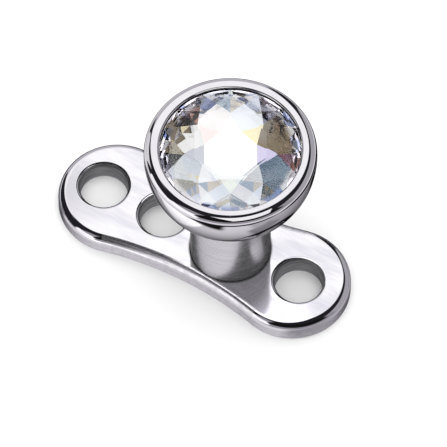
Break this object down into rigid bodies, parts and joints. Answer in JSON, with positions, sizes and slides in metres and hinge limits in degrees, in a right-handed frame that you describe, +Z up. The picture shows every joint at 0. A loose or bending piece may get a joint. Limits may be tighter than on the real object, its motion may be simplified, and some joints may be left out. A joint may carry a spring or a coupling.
{
  "type": "dermal anchor (skin diver) with a ball-backed gem top",
  "caption": "Polished foot plate with tissue holes and an upright post, carrying a ball-backed rim that holds a round cut crystal; worn under and above the skin.",
  "frame": {"origin": "on the post's axis, at the foot plate's flat underside", "axes": "+Z up along the post, +X along the foot plate towards its short end, which has the single hole"},
  "size_m": [0.0079, 0.0042, 0.0054],
  "materials": {
    "polished_steel": "mirror polished surgical steel",
    "cut_crystal": "clear cut crystal with a silvered back"
  },
  "bodies": {
    "root": {"anchor_base": "polished_steel", "bezel_cup": "polished_steel", "crystal": "cut_crystal"}
  },
  "joints": []
}
